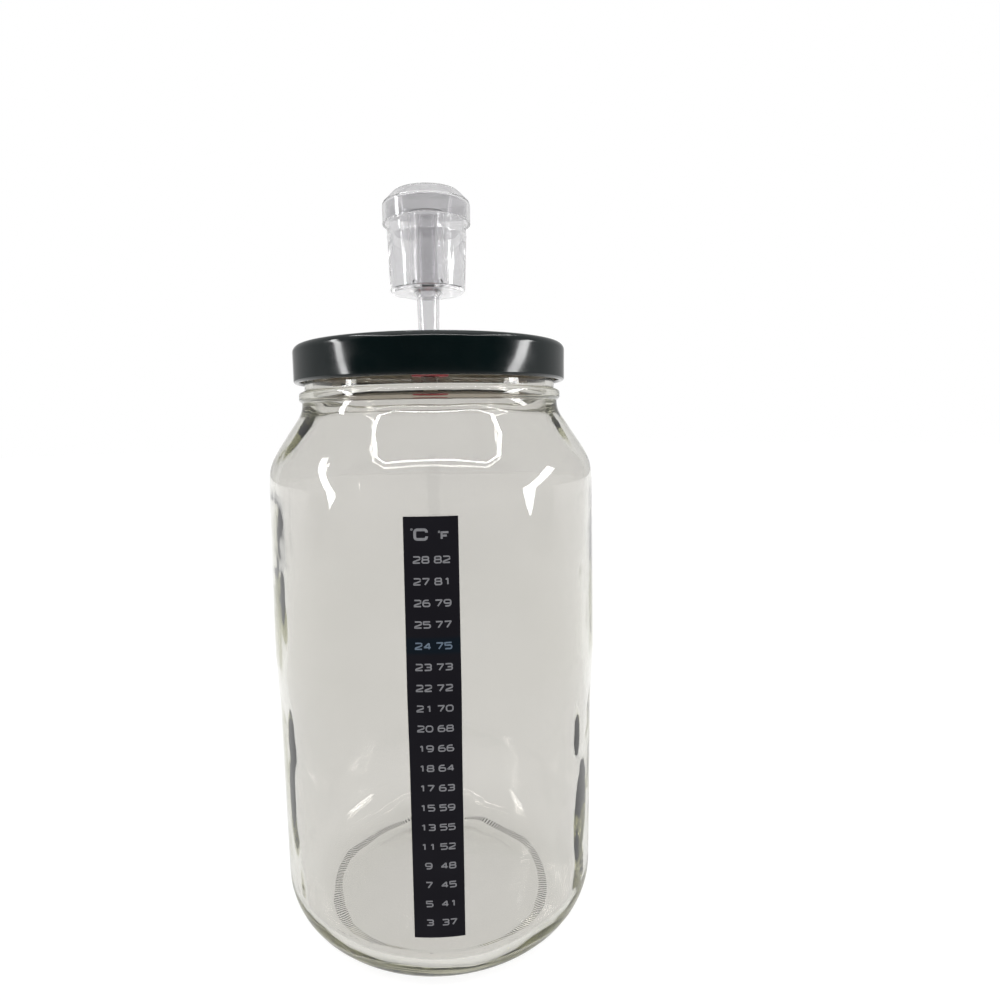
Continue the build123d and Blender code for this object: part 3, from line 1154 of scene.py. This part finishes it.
def scale_printing():
    plain = bmesh.new()
    lit = bmesh.new()
    for glyph, across, up, size in headers:
        lettering(plain, glyph, across, header_height + up, *size)
    for row, numbers in enumerate(scale_rows):
        height = first_row_height - row * row_pitch
        for number, middle in zip(numbers, (celsius_middle, fahrenheit_middle)):
            ink = lit if row == lit_row else plain
            lettering(ink, str(number), middle, height, numeral_width, numeral_height, numeral_stroke)
    printed("scale_numerals", plain, numeral_ink("numeral_ink", (0.24, 0.24, 0.26), (0.30, 0.30, 0.32)))
    printed("lit_numerals", lit, numeral_ink("lit_ink", (0.14, 0.19, 0.26), (0.18, 0.24, 0.31)))


# Studio: pale floor, white surround, soft lamps, camera

ambient_level = 0.62
front_refracted_level = 0.64
front_mirrored_level = 0.02
overhead_level = 0.8
side_level = 0.4
floor_reach = 6.0
floor_segments = 64
floor_drop = 0.02 * MM
# Floor glow is higher close under the jar: painted light that lifts the jar's shadow there
floor_painted_light_under_jar = 0.86
floor_mid_glow = 0.77
floor_far_glow = 0.88
floor_front_mirrored = 0.0
lamp_height = 1.2

# Watts that make one square metre of lamp as bright as a white card in full light
lamp_power = 4

# Where each light level starts and ends, as shares of a direction in the world, or metres on the floor
front_to_side = (-0.45, -0.25)
side_to_behind = (0.8, 1.0)
up_to_overhead = (0.75, 0.96)
front_to_behind_refracted = (-0.7, 0.15)
floor_near = (0.05, 0.2)
floor_far = (0.5, 1.8)
floor_front_to_behind = (-0.4, 0.3)


def ray_kind(tree, names):
    """1 for the kinds of ray that are named."""
    path = tree.nodes.new("ShaderNodeLightPath")
    total = path.outputs[names[0]]
    for name in names[1:]:
        total = calculated(tree, "MAXIMUM", total, path.outputs[name])
    return total


def white_surround():
    """White to the camera, even light on the object, and a darker room in front for gloss and glass."""
    world = bpy.data.worlds.new("white_surround")
    bpy.context.scene.world = world
    world.use_nodes = True
    tree = world.node_tree
    background = tree.nodes["Background"]
    background.inputs["Color"].default_value = (1, 1, 1, 1)
    toward = split_place(tree, "Generated")
    sides = smooth_range(tree, toward["Y"], front_to_side, front_mirrored_level, side_level)
    behind = smooth_range(tree, toward["Y"], side_to_behind, 0.0, 1.0)
    overhead = smooth_range(tree, toward["Z"], up_to_overhead, 0.0, overhead_level)
    room = calculated(tree, "MAXIMUM", calculated(tree, "MAXIMUM", sides, behind), overhead)
    mirrored = mixed(tree, ray_kind(tree, ["Is Glossy Ray"]), ambient_level, room)
    refracted = smooth_range(tree, toward["Y"], front_to_behind_refracted, front_refracted_level, 1.0)
    through = mixed(tree, ray_kind(tree, ["Is Transmission Ray"]), mirrored, refracted)
    level = mixed(tree, ray_kind(tree, ["Is Camera Ray"]), through, 1.0)
    tree.links.new(level, background.inputs["Strength"])


def pale_floor():
    """A floor that reads white, with the jar's shadow on it, lifted close under the jar by painted light.
    """
    bm = bmesh.new()
    bmesh.ops.create_circle(
        bm, cap_ends=True, cap_tris=False, segments=floor_segments, radius=floor_reach
    )
    bmesh.ops.translate(bm, verts=bm.verts, vec=(0, 0, -floor_drop))
    plate = placed("pale_floor", mesh_of("pale_floor", bm))
    material, tree, shader = shader_material(
        "floor_card", Base_Color=(0.26, 0.26, 0.255, 1), Roughness=0.9, Specular_IOR_Level=0.05
    )
    shader.inputs["Emission Color"].default_value = (1, 1, 1, 1)
    place = tree.nodes.new("ShaderNodeTexCoord")
    reach = tree.nodes.new("ShaderNodeVectorMath")
    reach.operation = "LENGTH"
    tree.links.new(place.outputs["Object"], reach.inputs[0])
    # Painted light: more glow close under the jar, lifting its shadow
    near = smooth_range(tree, reach.outputs["Value"], floor_near, floor_painted_light_under_jar, floor_mid_glow)
    far = smooth_range(tree, reach.outputs["Value"], floor_far, floor_mid_glow, floor_far_glow)
    glow = calculated(tree, "MAXIMUM", near, far)
    depth = split_place(tree, "Object")["Y"]
    room = smooth_range(tree, depth, floor_front_to_behind, floor_front_mirrored, floor_far_glow)
    mirrored = mixed(tree, ray_kind(tree, ["Is Glossy Ray"]), 0.0, room)
    seen = ray_kind(tree, ["Is Camera Ray", "Is Transmission Ray"])
    level = mixed(tree, seen, mirrored, glow)
    tree.links.new(level, shader.inputs["Emission Strength"])
    plate.data.materials.append(material)


def soft_lamp(name, start, end, width, radiance):
    """A lamp from one end of its middle line to the other, facing the jar's shoulder.

    It is as bright as that many white cards in full light.
    """
    start = Vector(start)
    end = Vector(end)
    middle = (start + end) / 2
    along = (end - start).normalized()
    away = middle - Vector((0, 0, shoulder_height))
    away = (away - away.dot(along) * along).normalized()
    light = bpy.data.lights.new(name, "AREA")
    light.shape = "RECTANGLE"
    light.size = (end - start).length
    light.size_y = width
    light.energy = lamp_power * radiance * light.size * width
    lamp = placed(name, light)
    turn = Matrix((along, away.cross(along), away)).transposed().to_4x4()
    lamp.matrix_world = Matrix.Translation(middle) @ turn
    lamp.visible_camera = False


def studio_lamps():
    """A slim leaning softbox at each side, and a frame of bars overhead."""
    soft_lamp("left_softbox", (-1.0, -0.42, 0.13), (-1.0, 0.06, 0.95), 0.11, 10.0)
    soft_lamp("right_softbox", (1.0, -0.50, 0.12), (1.0, 0.0, 0.54), 0.13, 10.0)
    front_left = (-0.62, -0.78, lamp_height)
    front_right = (0.76, -0.78, lamp_height)
    soft_lamp("front_bar", front_left, front_right, 0.06, 14.0)
    soft_lamp("left_bar", front_left, (-0.62, 0.25, lamp_height), 0.035, 14.0)
    soft_lamp("right_bar", front_right, (0.76, 0.25, lamp_height), 0.035, 14.0)


# Camera: a close hand-held view, solved from the outline of the jar
camera_place = Vector((0, -290.2 * MM, 215.4 * MM))
camera_pitch = radians(8.02)
camera_yaw = radians(2.72)
camera_roll = radians(-0.92)
focal_pixels = 666.05
image_pixels = 1000
centre_x = 464.45
centre_y = 516.68
sensor_width = 36.0
nearest_seen = 5 * MM
ray_bounces = 32


def photo_camera():
    data = bpy.data.cameras.new("photo_camera")
    data.sensor_width = sensor_width
    data.lens = sensor_width * focal_pixels / image_pixels
    data.shift_x = (image_pixels / 2 - centre_x) / image_pixels
    data.shift_y = (centre_y - image_pixels / 2) / image_pixels
    data.clip_start = nearest_seen
    forward = Vector((
        sin(camera_yaw) * cos(camera_pitch), cos(camera_yaw) * cos(camera_pitch), -sin(camera_pitch)
    ))
    right = Vector((cos(camera_yaw), -sin(camera_yaw), 0))
    upward = right.cross(forward)
    tilted_right = cos(camera_roll) * right + sin(camera_roll) * upward
    tilted_up = cos(camera_roll) * upward - sin(camera_roll) * right
    turn = Matrix((tilted_right, tilted_up, -forward)).transposed().to_4x4()
    camera = placed("photo_camera", data)
    camera.matrix_world = Matrix.Translation(camera_place) @ turn
    bpy.context.scene.camera = camera


glass_jar()
lid_shell()
sealing_ring()
rubber_grommet()
airlock_cup()
float_bell()
airlock_cap()
strip_layer(
    "strip_glue_layer", strip_gap, adhesive_thickness, ["strip_adhesive"], strip_glue()
)
strip_layer(
    "strip_film_layer", film_proud, film_thickness, ["thermometer_strip"], strip_film()
)
scale_printing()
white_surround()
pale_floor()
studio_lamps()
photo_camera()
bpy.context.scene.view_settings.view_transform = "Standard"
bpy.context.scene.cycles.max_bounces = ray_bounces
bpy.context.scene.cycles.glossy_bounces = ray_bounces
bpy.context.scene.cycles.transmission_bounces = ray_bounces
